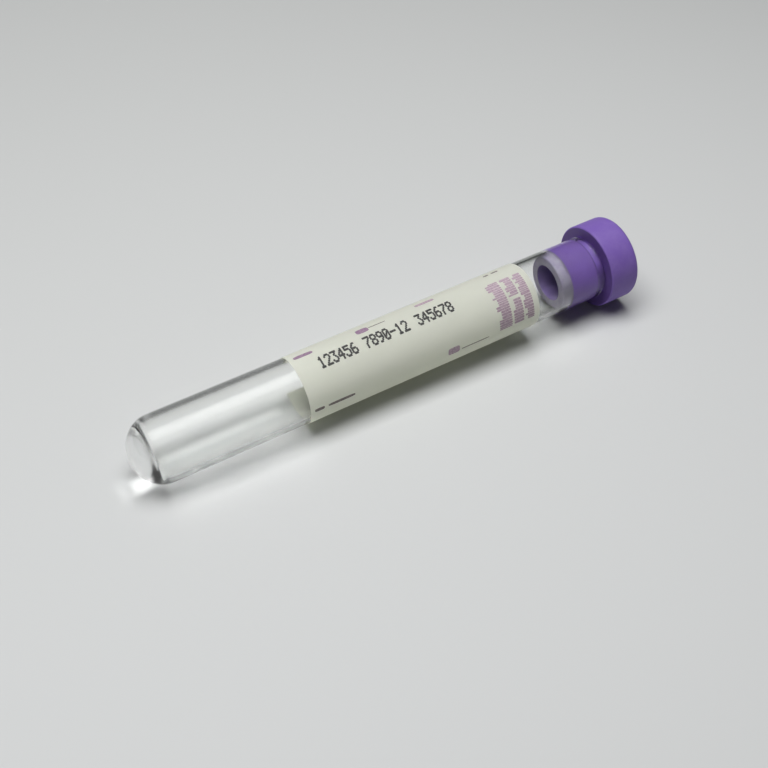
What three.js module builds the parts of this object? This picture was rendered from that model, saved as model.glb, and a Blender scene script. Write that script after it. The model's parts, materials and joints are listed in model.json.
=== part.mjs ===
// Blood collection tube: a glass tube with a round bottom, a paper label wrapped on it, and a rubber
// stopper seated in its mouth.
//
// Millimetres. Each piece is made along the tube's own axis, which is +X from the tip of the round
// bottom to the stopper. The tube then lies on its side on Z = 0, as it does on a bench: it rests on
// the start of its round bottom and on the inner rim of the wider head, so its axis rises slightly
// towards the stopper.

import * as THREE from 'three';

// Glass tube
const tubeLength = 100; // from the tip of the round bottom to the rim
const tubeDiameter = 13;
const wallThickness = 0.9;
const bottomDepth = 5.8; // how far the round bottom reaches along the axis
const bottomThickness = 3.4; // glass between the tip and the bore's nearly flat floor
const boreFloorRounding = 1.2;

// Label
const labelStart = 32.5; // from the tip of the round bottom
const labelLength = 51;
const labelThickness = 0.07;
const labelWindow = 8.6; // clear strip between the two ends of the wrap
const windowTurn = 81; // degrees from straight down, towards the back, to the middle of the strip

// Stopper: head
const headDiameter = 17.2;
const headHeight = 6.8;
const headTopRounding = 0.9;
const headRimRounding = 0.3;
const targetDiameter = 7.6; // shallow recess in the top, where the needle goes in
const targetDepth = 1.4;
const targetRounding = 0.5;

// Stopper: plug
const plugLength = 10.25; // from the head's underside
const plugTaperLength = 2.2;
const plugTaperDepth = 0.15;
const plugEndRounding = 0.3;
const neckLength = 1.4; // waist below the head, clear of the rounded rim
const neckDepth = 0.25;
const wellDiameter = 7.4;
const wellDepth = 9.35;
const wellRounding = 1;

// Clearances
const plugClearance = 0.05; // plug to bore, on the radius
const seatClearance = 0.05; // head's underside to the rim
const labelClearance = 0.02; // label to glass, on the radius

// Facets of every round piece, turned so that a flat side faces straight down
const sides = 48;
const sideAngle = (2 * Math.PI) / sides;
const curveSteps = 10; // steps of each end curve
const roundingSteps = 4; // steps of each small rounding

// Sizes that follow
const tubeRadius = tubeDiameter / 2;
const boreRadius = tubeRadius - wallThickness;
const rimRadius = wallThickness / 2;
const plugRadius = boreRadius - plugClearance;
const headRadius = headDiameter / 2;
const flatShare = Math.cos(sideAngle / 2); // from a corner's radius to a flat side's

// Points [along, out] on an ellipse's quarter or other stretch, from one angle to another in degrees
function arc(along, out, alongRadius, outRadius, from, to, steps) {
  return Array.from({ length: steps + 1 }, (_, step) => {
    const angle = THREE.MathUtils.degToRad(from + ((to - from) * step) / steps);
    return [along + alongRadius * Math.cos(angle), out + outRadius * Math.sin(angle)];
  });
}

// A solid turned round the X axis, from a profile of points [along, out] that starts and ends on the
// axis and runs clockwise, seen with X to the right and out upwards
function turned(profile) {
  const points = profile.map(([along, out]) => new THREE.Vector2(Math.max(out, 0), along));
  const geometry = new THREE.LatheGeometry(points, sides, sideAngle / 2);
  return geometry.rotateZ(-Math.PI / 2);
}

function piece(name, geometry, material) {
  const mesh = new THREE.Mesh(geometry, material);
  mesh.name = name;
  return mesh;
}

function glassTube() {
  const profile = [
    [bottomThickness, 0],
    ...arc(bottomThickness + boreFloorRounding, boreRadius - boreFloorRounding,
      boreFloorRounding, boreFloorRounding, 180, 90, curveSteps),
    ...arc(tubeLength - rimRadius, boreRadius + rimRadius, rimRadius, rimRadius, -90, 90, 2 * roundingSteps),
    ...arc(bottomDepth, 0, bottomDepth, tubeRadius, 90, 180, curveSteps),
  ].reverse();
  const glass = new THREE.MeshStandardMaterial({
    color: 0xdde3dc, roughness: 0.05, metalness: 0, transparent: true, opacity: 0.35,
  });
  return piece('glass_tube', turned(profile), glass);
}

// How far out a faceted round piece reaches at an angle from straight down, in radians
function facetReach(cornerRadius, angle) {
  const fromCorner = THREE.MathUtils.euclideanModulo(angle - sideAngle / 2, sideAngle);
  return (cornerRadius * flatShare) / Math.cos(fromCorner - sideAngle / 2);
}

function label() {
  const innerRadius = tubeRadius + labelClearance;
  const halfWindow = labelWindow / tubeDiameter; // half the strip's angle: its arc over the diameter
  const middle = THREE.MathUtils.degToRad(windowTurn);
  const start = middle + halfWindow;
  const end = middle + 2 * Math.PI - halfWindow;
  const angles = [start];
  const firstCorner = (Math.floor(start / sideAngle - 0.5) + 1.5) * sideAngle;
  for (let angle = firstCorner; angle < end; angle += sideAngle) {
    angles.push(angle);
  }
  angles.push(end);

  // Drawn with straight down to the right and the back upwards, so that it lies right once it is turned
  const pointAt = (cornerRadius, angle) => {
    const reach = facetReach(cornerRadius, angle);
    return new THREE.Vector2(reach * Math.cos(angle), reach * Math.sin(angle));
  };
  const outer = angles.map((angle) => pointAt(innerRadius + labelThickness, angle));
  const inner = angles.map((angle) => pointAt(innerRadius, angle)).reverse();
  const wrap = new THREE.Shape([...outer, ...inner]);
  const geometry = new THREE.ExtrudeGeometry(wrap, { depth: labelLength, steps: 1, bevelEnabled: false });
  geometry.rotateY(Math.PI / 2);

  const paper = new THREE.MeshStandardMaterial({ color: 0xd9dad2, roughness: 0.75, metalness: 0 });
  const mesh = piece('label', geometry, paper);
  mesh.position.x = labelStart;
  return mesh;
}

// Made with the head's underside at X = 0: the plug reaches to -plugLength, the head to +headHeight
function stopper() {
  const wellRadius = wellDiameter / 2;
  const targetRadius = targetDiameter / 2;
  const plugEndRadius = plugRadius - plugTaperDepth;
  const waistRadius = plugRadius - neckDepth;
  const wellFloor = wellDepth - plugLength;
  const profile = [
    [wellFloor, 0],
    ...arc(wellFloor - wellRounding, wellRadius - wellRounding, wellRounding, wellRounding, 0, 90, roundingSteps),
    [-plugLength, wellRadius],
    ...arc(plugEndRounding - plugLength, plugEndRadius - plugEndRounding,
      plugEndRounding, plugEndRounding, 180, 90, roundingSteps),
    [plugTaperLength - plugLength, plugRadius],
    [-neckLength - neckDepth, plugRadius],
    [-neckLength, waistRadius],
    [0, waistRadius],
    ...arc(headRimRounding, headRadius - headRimRounding, headRimRounding, headRimRounding, 180, 90, roundingSteps),
    ...arc(headHeight - headTopRounding, headRadius - headTopRounding,
      headTopRounding, headTopRounding, 90, 0, roundingSteps),
    ...arc(headHeight - targetRounding, targetRadius + targetRounding,
      targetRounding, targetRounding, 0, -90, roundingSteps),
    [headHeight - targetDepth, targetRadius],
    [headHeight - targetDepth, 0],
  ];
  const rubber = new THREE.MeshStandardMaterial({ color: 0x70569f, roughness: 0.55, metalness: 0 });
  const mesh = piece('stopper', turned(profile), rubber);
  mesh.position.x = tubeLength + seatClearance;
  return mesh;
}

// The angle at which the start of the round bottom and the head's inner rim both touch the bench
function restAngle() {
  const rise = (headRadius - tubeRadius) * flatShare;
  const run = tubeLength + seatClearance + headRimRounding - bottomDepth;
  return Math.atan(rise / run);
}

const lying = new THREE.Group();
lying.add(glassTube(), label(), stopper());
lying.rotation.y = -restAngle();

// The origin is under the middle of the whole, on the bench
const reach = new THREE.Box3().setFromObject(lying, true);
const middle = reach.getCenter(new THREE.Vector3());
lying.position.set(-middle.x, -middle.y, -reach.min.z);

const bloodCollectionTube = new THREE.Group();
bloodCollectionTube.add(lying);

export default bloodCollectionTube;
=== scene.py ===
"""Blood collection tube, dressed for the camera.

A round-bottomed glass tube lies on a pale bench with a printed paper label round it and a purple rubber
stopper in its mouth. Every visible surface is worked out here with numpy, in millimetres along the
tube's own axis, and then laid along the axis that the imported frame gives. Meshes are in metres.
"""

import json
import logging
import math
from dataclasses import dataclass, field
from enum import Enum

import bpy
import numpy as np
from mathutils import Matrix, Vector


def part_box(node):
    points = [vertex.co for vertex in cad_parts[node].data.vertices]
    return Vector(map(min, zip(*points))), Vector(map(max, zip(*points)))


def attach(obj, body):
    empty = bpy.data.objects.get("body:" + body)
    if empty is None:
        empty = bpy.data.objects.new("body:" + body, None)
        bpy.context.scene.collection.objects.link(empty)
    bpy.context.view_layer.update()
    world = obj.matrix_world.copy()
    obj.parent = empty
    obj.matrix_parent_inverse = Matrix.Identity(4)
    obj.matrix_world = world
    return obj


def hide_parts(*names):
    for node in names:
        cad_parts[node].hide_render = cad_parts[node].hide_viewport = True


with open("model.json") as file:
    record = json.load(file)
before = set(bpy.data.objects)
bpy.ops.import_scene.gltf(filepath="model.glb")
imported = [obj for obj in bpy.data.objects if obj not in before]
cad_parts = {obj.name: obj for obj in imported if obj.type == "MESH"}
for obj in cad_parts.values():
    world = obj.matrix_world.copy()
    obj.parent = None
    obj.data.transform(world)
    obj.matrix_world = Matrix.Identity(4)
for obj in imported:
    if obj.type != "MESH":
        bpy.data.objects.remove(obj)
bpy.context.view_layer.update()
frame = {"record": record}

MM = 0.001  # metres in a millimetre
SIDES = 256  # facets round every turned piece, so that pieces in contact share their facets
COATED = "coated"  # the number on each point of the glass that says whether it is inside the tube
HAZED = "hazed"  # the number on each point of the stopper that says whether it is at the plug's free end
PRESSED_LIGHTENED = "pressed_lightened"  # the same, for the stretch of the plug that the glass squeezes, which gets painted light
UNDERSIDE_SHADED = "underside_shaded"  # the same, for the head's underside, which is painted darker: painted shade

log = logging.getLogger("blood_collection_tube")


# ---------------------------------------------------------------------------------------------------
# Shader expressions
# ---------------------------------------------------------------------------------------------------


class Number:
    """A number in a node tree. Python's operators on it add Math nodes."""

    def __init__(self, nodes: "Nodes", socket: bpy.types.NodeSocket) -> None:
        """Wrap a socket.

        Args:
            nodes: The tree that the socket is in.
            socket: An output that carries a number.
        """
        self.nodes = nodes
        self.socket = socket

    def _math(self, operation: str, first: object, second: object) -> "Number":
        """Return the result of a Math node on two numbers or sockets."""
        node = self.nodes.add("ShaderNodeMath", {"operation": operation}, {0: first, 1: second})
        return Number(self.nodes, node.outputs[0])

    def __add__(self, other: object) -> "Number":
        """Sum."""
        return self._math("ADD", self, other)

    def __radd__(self, other: object) -> "Number":
        """Sum, with this number on the right."""
        return self._math("ADD", other, self)

    def __sub__(self, other: object) -> "Number":
        """Difference."""
        return self._math("SUBTRACT", self, other)

    def __rsub__(self, other: object) -> "Number":
        """Difference, with this number on the right."""
        return self._math("SUBTRACT", other, self)

    def __mul__(self, other: object) -> "Number":
        """Product."""
        return self._math("MULTIPLY", self, other)

    def __rmul__(self, other: object) -> "Number":
        """Product, with this number on the right."""
        return self._math("MULTIPLY", other, self)

    def __truediv__(self, other: object) -> "Number":
        """Quotient."""
        return self._math("DIVIDE", self, other)

    def __rtruediv__(self, other: object) -> "Number":
        """Quotient, with this number on the right."""
        return self._math("DIVIDE", other, self)

    def between(self, low: float, high: float) -> "Number":
        """Return how far this number has come from low to high, as a smooth step from 0 to 1."""
        node = self.nodes.add(
            "ShaderNodeMapRange",
            {"interpolation_type": "SMOOTHSTEP"},
            {"Value": self, "From Min": low, "From Max": high},
        )
        return Number(self.nodes, node.outputs["Result"])


class Nodes:
    """The node tree of one material."""

    def __init__(self, name: str) -> None:
        """Make an empty material.

        Args:
            name: The finish's name in plain words.
        """
        self.material = bpy.data.materials.new(name)
        self.material.use_nodes = True
        self.tree = self.material.node_tree
        self.tree.nodes.clear()

    def add(
        self,
        kind: str,
        settings: dict[str, object] | None = None,
        sockets: dict[str | int, object] | None = None,
    ) -> bpy.types.Node:
        """Add a node.

        Args:
            kind: The node's type.
            settings: Its own settings, set before its sockets; "stops" holds a ramp's stops.
            sockets: A value, a socket or a Number for each input, by its name or place.

        Returns:
            The new node.
        """
        node = self.tree.nodes.new(kind)
        for name, value in (settings or {}).items():
            if name == "stops":
                self._set_stops(node, value)
            else:
                setattr(node, name, value)
        for key, value in (sockets or {}).items():
            source = value.socket if isinstance(value, Number) else value
            if isinstance(source, bpy.types.NodeSocket):
                self.tree.links.new(source, node.inputs[key])
            else:
                node.inputs[key].default_value = source
        return node

    @staticmethod
    def _set_stops(node: bpy.types.Node, stops: list[tuple[float, tuple[float, ...]]]) -> None:
        """Put a ramp's stops in, each a place and a colour."""
        elements = node.color_ramp.elements
        while len(elements) < len(stops):
            elements.new(1.0)
        for element, (place, colour) in zip(elements, stops):
            element.position = place
            element.color = colour

    def place(self, scale: tuple[float, float, float] = (1, 1, 1)) -> bpy.types.NodeSocket:
        """Return each point's place in metres, turned so that X runs along the tube, and scaled.

        Args:
            scale: How much the pattern is drawn in along the tube, across it and upwards.

        Returns:
            A vector socket.
        """
        here = self.add("ShaderNodeTexCoord").outputs["Object"]
        turned = self.add("ShaderNodeMapping", {}, {"Vector": here, "Rotation": (0, AXIS.tilt, 0)})
        scaled = self.add("ShaderNodeMapping", {}, {"Vector": turned.outputs[0], "Scale": scale})
        return scaled.outputs[0]

    def coordinate(self, axis: str) -> Number:
        """Return one coordinate of each point.

        Args:
            axis: "X" for the place along the tube, "Y" for the place across the bench.

        Returns:
            Millimetres, along the tube from its tip, or across the bench from its middle.
        """
        split = self.add("ShaderNodeSeparateXYZ", {}, {0: self.place()})
        start = float(AXIS.tip @ AXIS.along) if axis == "X" else 0.0
        return Number(self, split.outputs[axis]) / MM - start

    def edge_on(self) -> Number:
        """Return 0 where the surface is seen head-on and 1 where it is seen edge-on."""
        return Number(self, self.add("ShaderNodeLayerWeight", {}, {"Blend": 0.5}).outputs["Facing"])

    def upward(self) -> Number:
        """Return how far the surface faces up: 1 on top, 0 at the sides and -1 underneath."""
        normal = self.add("ShaderNodeNewGeometry").outputs["Normal"]
        return Number(self, self.add("ShaderNodeSeparateXYZ", {}, {0: normal}).outputs["Z"])

    def attribute(self, name: str) -> Number:
        """Return a number that the mesh carries on its points."""
        return Number(self, self.add("ShaderNodeAttribute", {"attribute_name": name}).outputs["Fac"])

    def noise(
        self,
        grain: float,
        detail: float = 2.0,
        roughness: float = 0.5,
        scale: tuple[float, float, float] = (1, 1, 1),
    ) -> Number:
        """Return noise about 0.5.

        Args:
            grain: The size of a spot in millimetres.
            detail: How many finer layers it has.
            roughness: How strong those layers are.
            scale: As in place.

        Returns:
            A number that varies over the surface.
        """
        node = self.add(
            "ShaderNodeTexNoise",
            {},
            {
                "Vector": self.place(scale),
                "Scale": 1 / (grain * MM),
                "Detail": detail,
                "Roughness": roughness,
            },
        )
        return Number(self, node.outputs["Fac"])

    def mix(self, share: object, first: object, second: object) -> bpy.types.NodeSocket:
        """Return a colour between two.

        Args:
            share: How much of the second colour there is.
            first: The colour where share is 0.
            second: The colour where share is 1.

        Returns:
            A colour socket.
        """
        node = self.add("ShaderNodeMix", {"data_type": "RGBA"}, {0: share, 6: first, 7: second})
        return node.outputs[2]

    def bump(self, height: Number, depth: float) -> bpy.types.NodeSocket:
        """Return a normal for a relief.

        Args:
            height: The relief, where 1 is a full depth.
            depth: The depth in millimetres.

        Returns:
            A normal socket.
        """
        node = self.add("ShaderNodeBump", {}, {"Height": height, "Distance": depth * MM})
        return node.outputs["Normal"]

    def finish(
        self, sockets: dict[str | int, object], through: float = 0.0, glow: object = None
    ) -> bpy.types.Material:
        """Close the tree with a Principled shader.

        Args:
            sockets: What its inputs get.
            through: The share of the light that soaks through to the other side.
            glow: The colour of that light.

        Returns:
            The finished material.
        """
        surface = self.add("ShaderNodeBsdfPrincipled", {}, sockets).outputs[0]
        if through:
            soaked = self.add("ShaderNodeBsdfTranslucent", {}, {"Color": glow}).outputs[0]
            surface = self.add("ShaderNodeMixShader", {}, {0: through, 1: surface, 2: soaked}).outputs[0]
        self.add("ShaderNodeOutputMaterial", {}, {"Surface": surface})
        return self.material


# ---------------------------------------------------------------------------------------------------
# Finishes
# ---------------------------------------------------------------------------------------------------

Colour = tuple[float, float, float, float]


@dataclass(frozen=True)
class ClearGlass:
    """Drawn tubing: clear, with faint lines along it, a dried coating inside, a thin film outside, and
    painted shade: a dark line along its upper side where it is seen edge-on.
    """

    tint: Colour = (0.993, 0.998, 0.991, 1)
    bend: float = 1.5  # refractive index
    line_grain: float = 0.9
    line_stretch: float = 0.004
    line_depth: float = 0.004
    film_grain: float = 5.0
    film: float = 0.03
    coat: float = 0.2  # roughness of the dried coating inside
    gleam: Colour = (0.28, 0.28, 0.28, 1)  # how strongly it mirrors head-on
    edge_shade: Colour = (0.1, 0.105, 0.1, 1)  # painted shade: the dark tint along its upper side, seen edge-on
    edge_shade_span: tuple[float, float] = (5.0, 91.0)  # where it lies, in millimetres from the tip
    edge_shade_fade: tuple[float, float] = (2.0, 1.0)  # half the stretch in which each end of it fades
    edge_shade_angle: tuple[float, float] = (0.36, 0.66)  # how edge-on it is seen, from clear to shaded
    edge_shade_rise: tuple[float, float] = (0.1, 0.4)  # how far the glass faces up, from clear to shaded

    def material(self) -> bpy.types.Material:
        """Return the finish as a material."""
        nodes = Nodes("clear_glass")
        lines = nodes.noise(self.line_grain, scale=(self.line_stretch, 1, 1))
        film = nodes.noise(self.film_grain, detail=4, roughness=0.6).between(0.45, 0.8) * self.film
        outside = 1 - nodes.attribute(COATED)
        # painted shade: the glass is darkened along its upper side where it is seen edge-on
        edge_shaded = nodes.edge_on().between(*self.edge_shade_angle) * nodes.upward().between(*self.edge_shade_rise)
        along, (start, end), (near, far) = nodes.coordinate("X"), self.edge_shade_span, self.edge_shade_fade
        span = along.between(start - near, start + near) - along.between(end - far, end + far)
        edge_shaded = edge_shaded * outside * span
        return nodes.finish(
            {
                "Base Color": nodes.mix(edge_shaded, self.tint, self.edge_shade),
                "Roughness": film + nodes.attribute(COATED) * self.coat,
                "IOR": self.bend,
                "Specular Tint": self.gleam,
                "Transmission Weight": 1.0,
                "Normal": nodes.bump(lines, self.line_depth),
            }
        )


@dataclass(frozen=True)
class LabelPaper:
    """Thin uncoated paper with fine fibres and a little cloudiness, which lets some light through."""

    paper: Colour = (0.98, 0.98, 0.955, 1)
    cloud: Colour = (0.95, 0.955, 0.92, 1)
    glow: Colour = (0.97, 0.98, 0.9, 1)
    through: float = 0.68
    cloud_grain: float = 3.5
    fibre_grain: float = 0.12
    fibre_depth: float = 0.012
    roughness: float = 0.72

    def material(self) -> bpy.types.Material:
        """Return the finish as a material."""
        nodes = Nodes("label_paper")
        fibres = nodes.noise(self.fibre_grain, detail=5, roughness=0.65, scale=(0.45, 1, 1))
        clouds = nodes.noise(self.cloud_grain, detail=3)
        share = clouds.between(0.35, 0.7) * 0.7 + fibres.between(0.3, 0.8) * 0.3
        return nodes.finish(
            {
                "Base Color": nodes.mix(share, self.paper, self.cloud),
                "Roughness": self.roughness + fibres * 0.12,
                "Specular IOR Level": 0.35,
                "Normal": nodes.bump(fibres, self.fibre_depth),
            },
            through=self.through,
            glow=self.glow,
        )


@dataclass(frozen=True)
class Ink:
    """Printing ink that has sunk unevenly into the paper."""

    name: str
    full: Colour
    thin: Colour
    grain: float = 0.35
    relief: float = 0.004

    def material(self) -> bpy.types.Material:
        """Return the finish as a material."""
        nodes = Nodes(self.name)
        density = nodes.noise(self.grain, detail=3, roughness=0.6)
        return nodes.finish(
            {
                "Base Color": nodes.mix(density.between(0.4, 0.75), self.full, self.thin),
                "Roughness": 0.5 + density * 0.2,
                "Normal": nodes.bump(density, self.relief),
            }
        )


@dataclass(frozen=True)
class PurpleRubber:
    """Moulded stopper rubber: satin, with a fine grain from the mould and a pale bloom in places.

    The end of the plug, which the glass doesn't press on, is hazed over with grey. Where the glass
    presses on it, the rubber is painted paler, painted light that makes up for rubber looking darker
    where it wets the glass. The head's underside is painted darker, painted shade.
    """

    body: Colour = (0.187, 0.107, 0.42, 1)
    bloom: Colour = (0.237, 0.152, 0.46, 1)
    bloom_grain: float = 2.6
    mould_grain: float = 0.16
    mould_depth: float = 0.02
    wave_grain: float = 2.2
    wave_depth: float = 0.06
    roughness: float = 0.46
    bare: Colour = (0.105, 0.056, 0.24, 1)  # painted shade: the darker colour of the head's underside
    haze: Colour = (0.36, 0.335, 0.43, 1)  # the plug's free end
    thin_haze: Colour = (0.26, 0.225, 0.36, 1)
    pressed_lightened: Colour = (0.3, 0.18, 0.585, 1)  # painted light: the body's colour, made paler where the glass presses on it
    pressed_lightened_bloom: Colour = (0.345, 0.225, 0.625, 1)

    def material(self) -> bpy.types.Material:
        """Return the finish as a material."""
        nodes = Nodes("purple_rubber")
        grain = nodes.noise(self.mould_grain, detail=3, roughness=0.6)
        wave = nodes.noise(self.wave_grain, detail=1)
        bloom = nodes.noise(self.bloom_grain, detail=5, roughness=0.7).between(0.4, 0.75)
        share = bloom * 0.6 + grain.between(0.45, 0.8) * 0.25
        relief = grain * self.mould_depth + wave * self.wave_depth
        rubber = nodes.mix(share, self.body, self.bloom)
        lightened = nodes.mix(share, self.pressed_lightened, self.pressed_lightened_bloom)
        # painted light: the plug is painted paler where the glass presses on it
        rubber = nodes.mix(nodes.attribute(PRESSED_LIGHTENED), rubber, lightened)
        # painted shade: the head's underside is painted darker
        rubber = nodes.mix(nodes.attribute(UNDERSIDE_SHADED), rubber, self.bare)
        hazy = nodes.mix(bloom, self.haze, self.thin_haze)
        return nodes.finish(
            {
                "Base Color": nodes.mix(nodes.attribute(HAZED), rubber, hazy),
                "Roughness": self.roughness + bloom * 0.12 + grain * 0.08,
                "Specular IOR Level": 0.4,
                "Normal": nodes.bump(relief, 1.0),
            }
        )


class PrintInk(Enum):
    """The inks on the label."""

    BLACK = Ink("black_ink", (0.022, 0.022, 0.022, 1), (0.07, 0.07, 0.065, 1))
    PURPLE = Ink("purple_ink", (0.25, 0.15, 0.24, 1), (0.42, 0.32, 0.4, 1))
    MAUVE = Ink("mauve_ink", (0.4, 0.29, 0.36, 1), (0.58, 0.47, 0.53, 1))
    GREY = Ink("grey_ink", (0.16, 0.13, 0.13, 1), (0.32, 0.28, 0.27, 1))


# ---------------------------------------------------------------------------------------------------
# Places and meshes
# ---------------------------------------------------------------------------------------------------


class TubeAxis:
    """The line through the middle of the lying tube, from the tip of its round bottom."""

    def __init__(self, record: dict, to_target: float) -> None:
        """Read the axis from the frame.

        Args:
            record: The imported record, with the slide of the stopper and the mount in its top.
            to_target: Millimetres along the axis from the tip to the needle target's floor.
        """
        slide = next(j for j in record["behaviour"]["joints"] if j["name"] == "stopper_pull")
        target = next(m for m in record["mounts"] if m["name"] == "needle_target")
        self.along = np.array(slide["axis"]) / np.linalg.norm(slide["axis"])
        self.front = np.array([0.0, -1.0, 0.0])
        self.up = np.cross(self.front, self.along)
        self.tip = np.array(target["pos_m"]) / MM - self.along * to_target
        self.tilt = math.atan2(self.along[2], self.along[0])

    def lay(self, along: np.ndarray, out: np.ndarray, turn: np.ndarray) -> np.ndarray:
        """Lay points along the tube.

        The place is tip + along x axis + out x (cos turn x up + sin turn x front).

        Args:
            along: Millimetres from the tip.
            out: Millimetres from the axis.
            turn: Radians from straight up towards the front.

        Returns:
            Points in millimetres in the row frame, with a last axis of three.
        """
        along, out, turn = np.broadcast_arrays(along, out, turn)
        across = np.cos(turn)[..., None] * self.up + np.sin(turn)[..., None] * self.front
        return self.tip + along[..., None] * self.along + out[..., None] * across


def make_piece(
    name: str,
    points: np.ndarray,
    faces: list[list[int]],
    material: bpy.types.Material,
    sharp: float = 50.0,
) -> bpy.types.Object:
    """Put points and faces into a mesh object at the origin.

    The signed volume is a sixth of the sum of each fan triangle's triple product. Where it comes out
    negative the faces point inwards, so their order is turned round.

    Args:
        name: The piece's name.
        points: Millimetres in the row frame.
        faces: Vertex numbers of each face.
        material: Its finish.
        sharp: Edges that turn by more than this many degrees stay crisp.

    Returns:
        The new object, linked to the scene.
    """
    triangles = np.array([(f[0], f[i], f[i + 1]) for f in faces for i in range(1, len(f) - 1)])
    first, second, third = (points[triangles[:, i]] for i in range(3))
    if np.einsum("ij,ij->", first, np.cross(second, third)) < 0:
        faces = [face[::-1] for face in faces]
    mesh = bpy.data.meshes.new(name)
    mesh.from_pydata((points * MM).tolist(), [], faces)
    mesh.validate()
    mesh.shade_smooth()
    mesh.set_sharp_from_angle(angle=math.radians(sharp))
    mesh.materials.append(material)
    piece = bpy.data.objects.new(name, mesh)
    bpy.context.scene.collection.objects.link(piece)
    return piece


def arc(
    along: float, out: float, radii: tuple[float, float], start: float, end: float, steps: int
) -> np.ndarray:
    """Return points on part of an ellipse: centre + (radius along x cos, radius out x sin).

    Args:
        along: The centre's place along the axis.
        out: The centre's distance from the axis.
        radii: The half-widths along the axis and outwards.
        start: The first angle in degrees, 0 towards the stopper and 90 outwards.
        end: The last angle.
        steps: How many steps the stretch has.

    Returns:
        An array of [along, out].
    """
    angle = np.radians(np.linspace(start, end, steps + 1))
    return np.stack([along + radii[0] * np.cos(angle), out + radii[1] * np.sin(angle)], axis=1)


def turned(profile: np.ndarray) -> tuple[np.ndarray, list[list[int]]]:
    """Turn a profile round the tube's axis.

    Ring i, facet j is at (along_i, out_i, 2 pi j / SIDES). The profile's two ends lie on the axis, and
    each becomes one point with a fan of triangles.

    Args:
        profile: Points [along, out] from axis to axis.

    Returns:
        The points and the faces.
    """
    rings = profile[1:-1]
    turn = np.arange(SIDES) * 2 * np.pi / SIDES
    grid = AXIS.lay(rings[:, :1], rings[:, 1:], turn[None, :]).reshape(-1, 3)
    poles = AXIS.lay(profile[[0, -1], 0], np.zeros(2), np.zeros(2))
    points = np.concatenate([grid, poles])

    ring, side = np.meshgrid(np.arange(len(rings) - 1), np.arange(SIDES), indexing="ij")
    following = (side + 1) % SIDES
    corners = [ring * SIDES + side, ring * SIDES + following]
    corners += [corners[1] + SIDES, corners[0] + SIDES]
    quads = np.stack(corners, axis=-1).reshape(-1, 4).tolist()

    first_pole, last_pole = len(grid), len(grid) + 1
    around = np.arange(SIDES)
    following = (around + 1) % SIDES
    last = (len(rings) - 1) * SIDES
    start_fan = np.stack([np.full(SIDES, first_pole), following, around], axis=1).tolist()
    end_fan = np.stack([np.full(SIDES, last_pole), last + around, last + following], axis=1).tolist()
    return points, quads + start_fan + end_fan


# ---------------------------------------------------------------------------------------------------
# Sub-assemblies
# ---------------------------------------------------------------------------------------------------


@dataclass
class GlassTube:
    """The evacuated glass tube, in millimetres from the tip of its round bottom."""

    length: float = 100.0
    radius: float = 6.5
    wall: float = 0.9
    bottom_depth: float = 5.8
    bottom_thickness: float = 3.4
    floor_rounding: float = 1.2  # where the bore meets its nearly flat floor
    dome_steps: int = 40
    rim_steps: int = 20
    finish: ClearGlass = field(default_factory=ClearGlass)

    @property
    def bore(self) -> float:
        """The radius of the inside."""
        return self.radius - self.wall

    def build(self) -> bpy.types.Object:
        """Build the tube: its round-cornered bore, a half circle round the rim and its domed outside."""
        rim, corner = self.wall / 2, self.floor_rounding
        floor = self.bottom_thickness
        rounding = arc(floor + corner, self.bore - corner, (corner, corner), 180, 90, self.dome_steps)
        inner = np.concatenate([[[floor, 0]], rounding])
        lip = arc(self.length - rim, self.bore + rim, (rim, rim), -90, 90, self.rim_steps)
        outer = arc(self.bottom_depth, 0, (self.bottom_depth, self.radius), 90, 180, self.dome_steps)
        points, faces = turned(np.concatenate([inner, lip, outer]))
        tube = make_piece("clear_tube", points, faces, self.finish.material())
        coated = np.zeros(len(points))
        coated[: (len(inner) - 1) * SIDES] = 1  # the bore's rings
        coated[-2] = 1  # the point in the middle of its floor
        tube.data.attributes.new(COATED, "FLOAT", "POINT").data.foreach_set("value", coated)
        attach(tube, "tube")
        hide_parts("glass_tube")
        return tube


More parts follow.
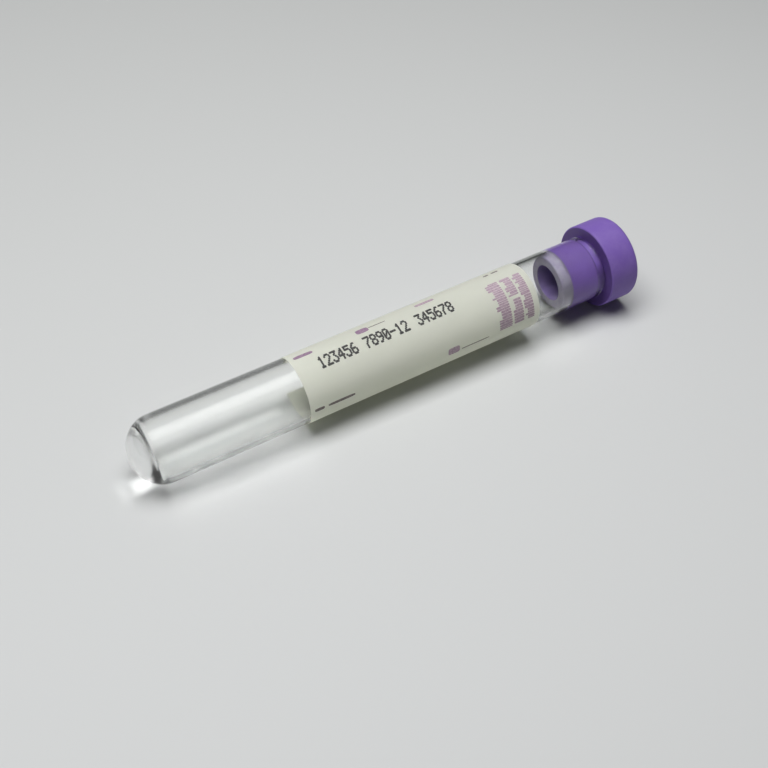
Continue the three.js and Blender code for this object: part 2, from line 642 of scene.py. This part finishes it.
@dataclass
class PaperLabel:
    """The paper label, wrapped on the glass with a clear strip left at the back."""

    glass: GlassTube
    start: float = 32.5
    length: float = 51.0
    thickness: float = 0.07
    gap: float = 0.02  # the air left between the paper and the glass
    window: float = 8.6
    window_turn: float = -99.0  # degrees from straight up towards the front, to the middle of the strip
    cockle: float = 0.008  # how much the paper waves
    cockle_rate: float = 0.55  # radians of a wave in a millimetre along the tube
    cockle_sway: float = 1.3  # radians by which the waves shift to and fro round the tube
    edge: float = 0.03  # rounding of the cut edges
    stations: int = 61  # places along the printed side
    steps: int = 240  # round the tube
    finish: LabelPaper = field(default_factory=LabelPaper)

    @property
    def radius(self) -> float:
        """The radius of the printed side."""
        return self.glass.radius + self.gap + self.thickness

    @property
    def end(self) -> float:
        """The edge near the stopper."""
        return self.start + self.length

    def outside(self, along: np.ndarray, turn: np.ndarray) -> np.ndarray:
        """Return the printed side's radius.

        It is the plain radius plus a product of slow sine waves along and round the label.

        Args:
            along: Millimetres from the tube's tip.
            turn: Radians from straight up towards the front.

        Returns:
            Millimetres from the axis.
        """
        sway = self.cockle_sway * np.sin(turn * 3)
        return self.radius + self.cockle * np.sin(along * self.cockle_rate + sway) * np.sin(turn * 5 + 1)

    def build(self) -> bpy.types.Object:
        """Build the wrap: a thin section with rounded corners, carried round from seam to seam."""
        half = self.window / 2 / self.glass.radius
        middle = math.radians(self.window_turn)
        turn = np.linspace(middle + half, middle + 2 * np.pi - half, self.steps + 1)[:, None]
        inner = self.glass.radius + self.gap
        outer_along = np.linspace(self.start + self.edge, self.end - self.edge, self.stations)
        cut_edges = [self.end, self.end, self.start, self.start]
        along = np.concatenate([outer_along, cut_edges])[None, :]
        out = self.outside(along, turn)
        out[:, [-4, -1]] -= self.edge
        out[:, [-3, -2]] = inner
        points = AXIS.lay(along, out, turn).reshape(-1, 3)
        count = along.shape[1]

        step, corner = np.meshgrid(np.arange(self.steps), np.arange(count), indexing="ij")
        following = (corner + 1) % count
        quads = np.stack(
            [
                step * count + corner,
                step * count + following,
                (step + 1) * count + following,
                (step + 1) * count + corner,
            ],
            axis=-1,
        ).reshape(-1, 4)
        caps = [list(range(count))[::-1], list(range(self.steps * count, (self.steps + 1) * count))]
        label = make_piece("paper_label", points, quads.tolist() + caps, self.finish.material(), sharp=35)
        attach(label, "tube")
        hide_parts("label")
        return label


# The dots of each character: five across in each of seven rows, 1 where there is one.
DIGITS = {
    "0": "01110 10001 10011 10101 11001 10001 01110",
    "1": "00100 01100 00100 00100 00100 00100 01110",
    "2": "01110 10001 00001 00010 00100 01000 11111",
    "3": "11111 00010 00100 00010 00001 10001 01110",
    "4": "00010 00110 01010 10010 11111 00010 00010",
    "5": "11111 10000 11110 00001 00001 10001 01110",
    "6": "00110 01000 10000 11110 10001 10001 01110",
    "7": "11111 00001 00010 00100 01000 01000 01000",
    "8": "01110 10001 10001 01110 10001 10001 01110",
    "9": "01110 10001 10001 01111 00001 00010 01100",
    "-": "00000 00000 00000 11111 00000 00000 00000",
}


@dataclass
class LabelPrint:
    """What is printed on the label: a plain count in dots, and bars in place of words."""

    label: PaperLabel
    ink_depth: float = 0.012
    ink_sink: float = 0.006  # how much of that is in the paper
    rings: int = 3  # copies of the outline on each plate's top
    digit_pitch: float = 1.36
    column_gap: float = 0.225  # from one dot to the next, along the tube
    row_gap: float = 0.36  # the same, round the tube
    dot_half: tuple[float, float] = (0.2, 0.25)  # a dot's half-sizes along the tube and round it
    dot_step: float = 0.002  # every other dot stands this much prouder, so that no two tops coincide
    run_top: float = 0.8  # where the first run of digits has its top round the tube
    run_slope: float = -0.014  # how far the runs drift round the tube for each millimetre along it
    row_start: float = 0.35  # where the rows of blocks begin round the tube
    row_end: float = 10.3
    blocks: int = 24  # in a row, before those past its end are left out
    block_width: tuple[float, float] = (0.28, 0.62)
    block_gap: float = 0.05
    block_heights: tuple[float, float] = (0.75, 1.0)  # the shares of its row's height that it may have

    def _plates(
        self, name: str, plates: np.ndarray, ink: PrintInk, power: float, sides: int
    ) -> bpy.types.Object:
        """Build many small closed plates of ink that follow the label.

        A plate's outline is |x / half width| ^ power + |y / half height| ^ power = 1: round dots at
        power 2 and soft-cornered bars at higher powers. Its points at angle a are
        half x sign(cos a) x |cos a| ^ (2 / power), and the same with the sine. The top has smaller
        copies of the outline inside it and a point in the middle, and the bottom has the outline alone.

        Args:
            name: The piece's name.
            plates: For each plate its middle along the tube and round it, its half-sizes in the same
                directions, and how much prouder it stands, all in millimetres.
            ink: Its ink.
            power: How square the plates are.
            sides: Points on each outline.

        Returns:
            The new object.
        """
        angle = np.arange(sides) * 2 * np.pi / sides
        circle = np.stack([np.cos(angle), np.sin(angle)], axis=1)
        outline = np.sign(circle) * np.abs(circle) ** (2 / power)
        shrink = np.linspace(1, 0, self.rings + 1)[:-1]
        steps = np.concatenate([np.outer(shrink, outline[:, i]).reshape(-1, 1) for i in (0, 1)], axis=1)
        steps = np.concatenate([steps, outline, [[0, 0]]])
        flat = plates[:, None, 0:2] + plates[:, None, 2:4] * steps[None]
        turn = flat[..., 1] / self.label.radius
        out = self.label.outside(flat[..., 0], turn) + self.ink_depth - self.ink_sink + plates[:, 4:5]
        bottom, middle = self.rings * sides, (self.rings + 1) * sides
        out[:, bottom:middle] -= self.ink_depth + plates[:, 4:5]
        points = AXIS.lay(flat[..., 0], out, turn).reshape(-1, 3)

        here = np.arange(sides)
        there = (here + 1) % sides
        ring = (np.arange(self.rings - 1) * sides)[:, None]
        inner = [ring + here, ring + there, ring + sides + there, ring + sides + here]
        last = bottom - sides
        blocks = [
            np.stack(inner, axis=-1).reshape(-1, 4),
            np.stack([there, here, bottom + here, bottom + there], axis=1),
            np.stack([last + here, last + there, np.full(sides, middle)], axis=1),
            (bottom + here)[None, ::-1],
        ]
        starts = (np.arange(len(plates)) * (middle + 1))[:, None, None]
        faces = [face for block in blocks for face in (starts + block).reshape(-1, block.shape[1]).tolist()]
        piece = make_piece(name, points, faces, ink.value.material(), sharp=40)
        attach(piece, "tube")
        return piece

    def count(self, text: str, start: float, top: float) -> np.ndarray:
        """Return the dots of a run of digits.

        Args:
            text: Digits and dashes.
            start: Where the first digit begins along the tube.
            top: Where the top of the first digit is round the tube.

        Returns:
            The dots as plates.
        """
        dots = [
            (
                start + place * self.digit_pitch + column * self.column_gap,
                top + row * self.row_gap,
                *self.dot_half,
                self.dot_step * ((row + column) % 2),
            )
            for place, character in enumerate(text)
            for row, line in enumerate(DIGITS[character].split())
            for column, mark in enumerate(line)
            if mark == "1"
        ]
        plates = np.array(dots)
        plates[:, 1] += self.run_slope * (plates[:, 0] - start)
        return plates

    def row(self, middle: float, half: float, gap: tuple[float, float], seed: int) -> np.ndarray:
        """Return a row of blocks round the tube, which stands for a line of words.

        Args:
            middle: The row's middle along the tube.
            half: Its half-height.
            gap: A stretch round the tube that stays bare.
            seed: Picks the blocks' sizes.

        Returns:
            The blocks as plates.
        """
        rng = np.random.default_rng(seed)
        widths = rng.uniform(*self.block_width, self.blocks)
        places = self.row_start + np.cumsum(widths + self.block_gap) - widths / 2
        halves = half * rng.choice(self.block_heights, self.blocks)
        shifts = half - halves
        plates = np.stack([middle + shifts, places, halves, widths / 2, np.zeros(self.blocks)], axis=1)
        bare = (places > gap[0]) & (places < gap[1]) | (places > self.row_end)
        return plates[~bare]

    def build(self) -> list[bpy.types.Object]:
        """Build each colour of print as one piece.

        Runs are what they count and where they start along the tube, rows are their middle along it,
        half-height and bare stretch, and the rest are plates.
        """
        runs = [("123456", 37.2), ("7890-12", 46.9), ("345678", 58.2)]
        tops = [self.run_top + self.run_slope * (start - runs[0][1]) for _, start in runs]
        dots = np.concatenate([self.count(*run, top) for run, top in zip(runs, tops)])
        rows = [(75.5, 1.5, (0, 0)), (78.6, 1.15, (4.4, 5.2)), (81.15, 1.05, (0, 0))]
        blocks = [self.row(*row, seed) for seed, row in enumerate(rows, start=3)]
        marks = [(35.5, -1.4, 1.95, 0.45, 0), (47.9, -1.4, 1.3, 0.7, 0)]
        faint = [(62.0, -2.15, 2.1, 0.4, 0), (63.4, 10.3, 1.3, 0.8, 0)]
        specks = [
            (51.1, -1.5, 1.9, 0.1, 0),
            (76.6, -2.7, 0.6, 0.25, 0),
            (78.7, -2.8, 0.8, 0.25, 0),
            (34.3, 10.3, 1.0, 0.35, 0),
            (38.9, 10.3, 2.8, 0.3, 0),
            (68.3, 10.7, 3.2, 0.12, 0),
        ]
        return [
            self._plates("printed_count", dots, PrintInk.BLACK, 2.2, 12),
            self._plates("printed_rows", np.concatenate([*blocks, faint]), PrintInk.MAUVE, 5, 24),
            self._plates("printed_bars", np.array(marks), PrintInk.PURPLE, 4, 28),
            self._plates("printed_marks", np.array(specks), PrintInk.GREY, 4, 28),
        ]


@dataclass
class RubberStopper:
    """The one-piece stopper, in millimetres from the head's underside."""

    glass: GlassTube
    seat: float = 0.05
    head_radius: float = 8.6
    head_height: float = 6.8
    head_top_rounding: float = 0.9
    head_rim_rounding: float = 0.3
    target_radius: float = 3.8
    target_depth: float = 1.4
    target_rounding: float = 0.5
    plug_length: float = 10.25
    plug_press: float = 0.02  # how far the squeezed plug sits in the glass, so that no air shows
    taper_length: float = 2.2  # of the plug's free end
    taper_depth: float = 0.15
    haze_length: float = 2.3  # how much of the plug's free end is hazed
    haze_edge: float = 0.2  # the length in which the haze at the plug's free end runs out
    well_haze: float = 0.35  # how strong the haze is in the well, where the plug's free end has 1
    plug_end_rounding: float = 0.3
    neck_length: float = 1.4
    neck_depth: float = 0.25
    well_radius: float = 3.7
    well_depth: float = 9.35
    well_rounding: float = 1.0
    rounding_steps: int = 12
    finish: PurpleRubber = field(default_factory=PurpleRubber)

    @property
    def plug_radius(self) -> float:
        """The radius of the plug where it seals."""
        return self.glass.bore + self.plug_press

    def profile(self) -> np.ndarray:
        """Return the section from the well's floor, round the plug and the head, to the target's floor."""
        steps = self.rounding_steps
        floor = self.well_depth - self.plug_length
        well, end, rim = self.well_rounding, self.plug_end_rounding, self.head_rim_rounding
        top, lip = self.head_top_rounding, self.target_rounding
        plug_end = self.plug_radius - self.taper_depth
        waist = self.plug_radius - self.neck_depth
        target = self.head_height - self.target_depth
        return np.concatenate(
            [
                [[floor, 0]],
                arc(floor - well, self.well_radius - well, (well, well), 0, 90, steps),
                [[self.haze_edge - self.plug_length, self.well_radius]],
                [[-self.plug_length, self.well_radius]],
                arc(end - self.plug_length, plug_end - end, (end, end), 180, 90, steps),
                [[self.taper_length - self.plug_length, self.plug_radius]],
                [[self.haze_length - self.plug_length, self.plug_radius]],
                [[self.haze_length - self.plug_length + self.haze_edge, self.plug_radius]],
                [[-self.neck_length - self.neck_depth - self.haze_edge, self.plug_radius]],
                [[-self.neck_length - self.neck_depth, self.plug_radius]],
                [[-self.neck_length, waist], [0, waist]],
                arc(rim, self.head_radius - rim, (rim, rim), 180, 90, steps),
                arc(self.head_height - top, self.head_radius - top, (top, top), 90, 0, steps),
                arc(self.head_height - lip, self.target_radius + lip, (lip, lip), 0, -90, steps),
                [[target, self.target_radius], [target, 0]],
            ]
        )

    def build(self) -> bpy.types.Object:
        """Build the stopper by turning its section."""
        profile = self.profile()
        along, out = profile[1:-1].T
        haze_end = self.haze_length - self.plug_length + self.haze_edge / 2
        hazed = (along < haze_end).astype(float)
        hazed[: self.rounding_steps + 2] = self.well_haze  # the rings in the well, but for its mouth
        before_neck = along < -self.neck_length - self.neck_depth
        # the rings that the glass squeezes, which get painted light
        pressed_lightened = (out == self.plug_radius) & (along > haze_end) & before_neck
        # the rings of the head's underside, which get painted shade
        underside_shaded = along == 0
        profile[:, 0] += self.glass.length + self.seat
        points, faces = turned(profile)
        stopper = make_piece("rubber_stopper", points, faces, self.finish.material(), sharp=32)
        for name, rings in ((HAZED, hazed), (PRESSED_LIGHTENED, pressed_lightened), (UNDERSIDE_SHADED, underside_shaded)):
            values = np.append(np.repeat(rings.astype(float), SIDES), [0, 0])
            stopper.data.attributes.new(name, "FLOAT", "POINT").data.foreach_set("value", values)
        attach(stopper, "closure")
        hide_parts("stopper")
        return stopper


# ---------------------------------------------------------------------------------------------------
# Studio
# ---------------------------------------------------------------------------------------------------


@dataclass
class Studio:
    """The bench, the light and the camera."""

    floor_half: float = 1500.0
    floor_near: Colour = (0.61, 0.62, 0.62, 1)
    floor_far: Colour = (0.54, 0.55, 0.545, 1)
    floor_fade: tuple[float, float] = (-80.0, 160.0)  # across the bench, from near colour to far: painted shade, darker further back
    box_middle: tuple[float, float, float] = (-60.0, 25.0, 500.0)
    box_size: tuple[float, float] = (520.0, 340.0)
    box_steps: int = 3  # nested panels, so that the edge is soft
    box_step: float = 55.0  # how much smaller each next panel is
    box_shift: float = 18.0  # how much further back it hangs
    box_drop: float = 5.0  # how much lower it hangs, because coplanar lamps hide one another
    box_radiance: float = 7.5  # of all the panels together
    surround: float = 0.04
    azimuth: float = -30.91  # degrees from straight in front towards the stopper's end
    elevation: float = 44.49  # degrees above the bench
    distance: float = 207.43
    lens: float = 52.61  # focal length in millimetres, on a sensor 36 mm wide
    sensor: float = 36.0
    look_at: tuple[float, float, float] = (-6.118, -7.283, 7.5)

    def build_floor(self) -> None:
        """Build the pale bench top as one large square, painted darker further back."""
        nodes = Nodes("pale_bench")
        # painted shade: the bench is painted darker further back, where less light reaches it
        away = nodes.coordinate("Y").between(*self.floor_fade)
        colour = nodes.mix(away, self.floor_near, self.floor_far)
        material = nodes.finish({"Base Color": colour, "Roughness": 0.8, "Specular IOR Level": 0.2})
        half = self.floor_half * MM
        mesh = bpy.data.meshes.new("bench")
        corners = [(-half, -half, 0), (half, -half, 0), (half, half, 0), (-half, half, 0)]
        mesh.from_pydata(corners, [], [(0, 1, 2, 3)])
        mesh.materials.append(material)
        bench = bpy.data.objects.new("bench", mesh)
        bpy.context.scene.collection.objects.link(bench)

    def build_light(self) -> None:
        """Hang a softbox with a soft edge over the tube, in a dark surround.

        A flat lamp's power is its radiance x pi x its area.
        """
        for step in range(self.box_steps):
            light = bpy.data.lights.new("softbox", "AREA")
            light.shape = "RECTANGLE"
            light.size, light.size_y = ((side - step * self.box_step) * MM for side in self.box_size)
            radiance = self.box_radiance / self.box_steps
            light.energy = radiance * math.pi * light.size * light.size_y
            box = bpy.data.objects.new("softbox", light)
            step_by = Vector((0, step * self.box_shift, -step * self.box_drop))
            box.location = (Vector(self.box_middle) + step_by) * MM
            bpy.context.scene.collection.objects.link(box)

        world = bpy.data.worlds.new("surround")
        world.use_nodes = True
        background = world.node_tree.nodes["Background"]
        background.inputs["Color"].default_value = (1, 1, 1, 1)
        background.inputs["Strength"].default_value = self.surround
        bpy.context.scene.world = world

    def build_camera(self) -> None:
        """Set the camera on its arm: look_at + distance x the direction of azimuth and elevation."""
        turn, rise = math.radians(self.azimuth), math.radians(self.elevation)
        back = Vector(
            (math.sin(turn) * math.cos(rise), -math.cos(turn) * math.cos(rise), math.sin(rise))
        )
        data = bpy.data.cameras.new("camera")
        data.lens = self.lens
        data.sensor_width = self.sensor
        data.clip_start = 10 * MM
        camera = bpy.data.objects.new("camera", data)
        camera.location = (Vector(self.look_at) + back * self.distance) * MM
        camera.rotation_euler = back.to_track_quat("Z", "Y").to_euler()
        bpy.context.scene.collection.objects.link(camera)
        bpy.context.scene.camera = camera

    def build(self) -> None:
        """Build the whole studio."""
        self.build_camera()
        self.build_floor()
        self.build_light()
        bpy.context.scene.view_settings.view_transform = "Standard"
        bpy.context.scene.cycles.blur_glossy = 0.0  # keeps the bench bright under the clear glass


def facing_radius(node: str) -> float:
    """Return a turned CAD node's radius in millimetres: half its box across the tube."""
    low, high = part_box(node)
    return (high.y - low.y) / 2 / MM


HEAD_TOP = GlassTube.length + RubberStopper.seat + RubberStopper.head_height  # from the tube's tip
AXIS = TubeAxis(frame["record"], HEAD_TOP - RubberStopper.target_depth)


def main() -> None:
    """Build the studio and then each sub-assembly in order."""
    logging.basicConfig(level=logging.INFO, format="%(name)s: %(message)s")
    Studio().build()
    glass = GlassTube(radius=facing_radius("glass_tube"))
    label = PaperLabel(glass)
    stopper = RubberStopper(glass, head_radius=facing_radius("stopper"))
    pieces = [glass.build(), label.build(), *LabelPrint(label).build(), stopper.build()]
    for piece in pieces:
        log.info("%s: %d faces", piece.name, len(piece.data.polygons))


if __name__ == "__main__":
    main()
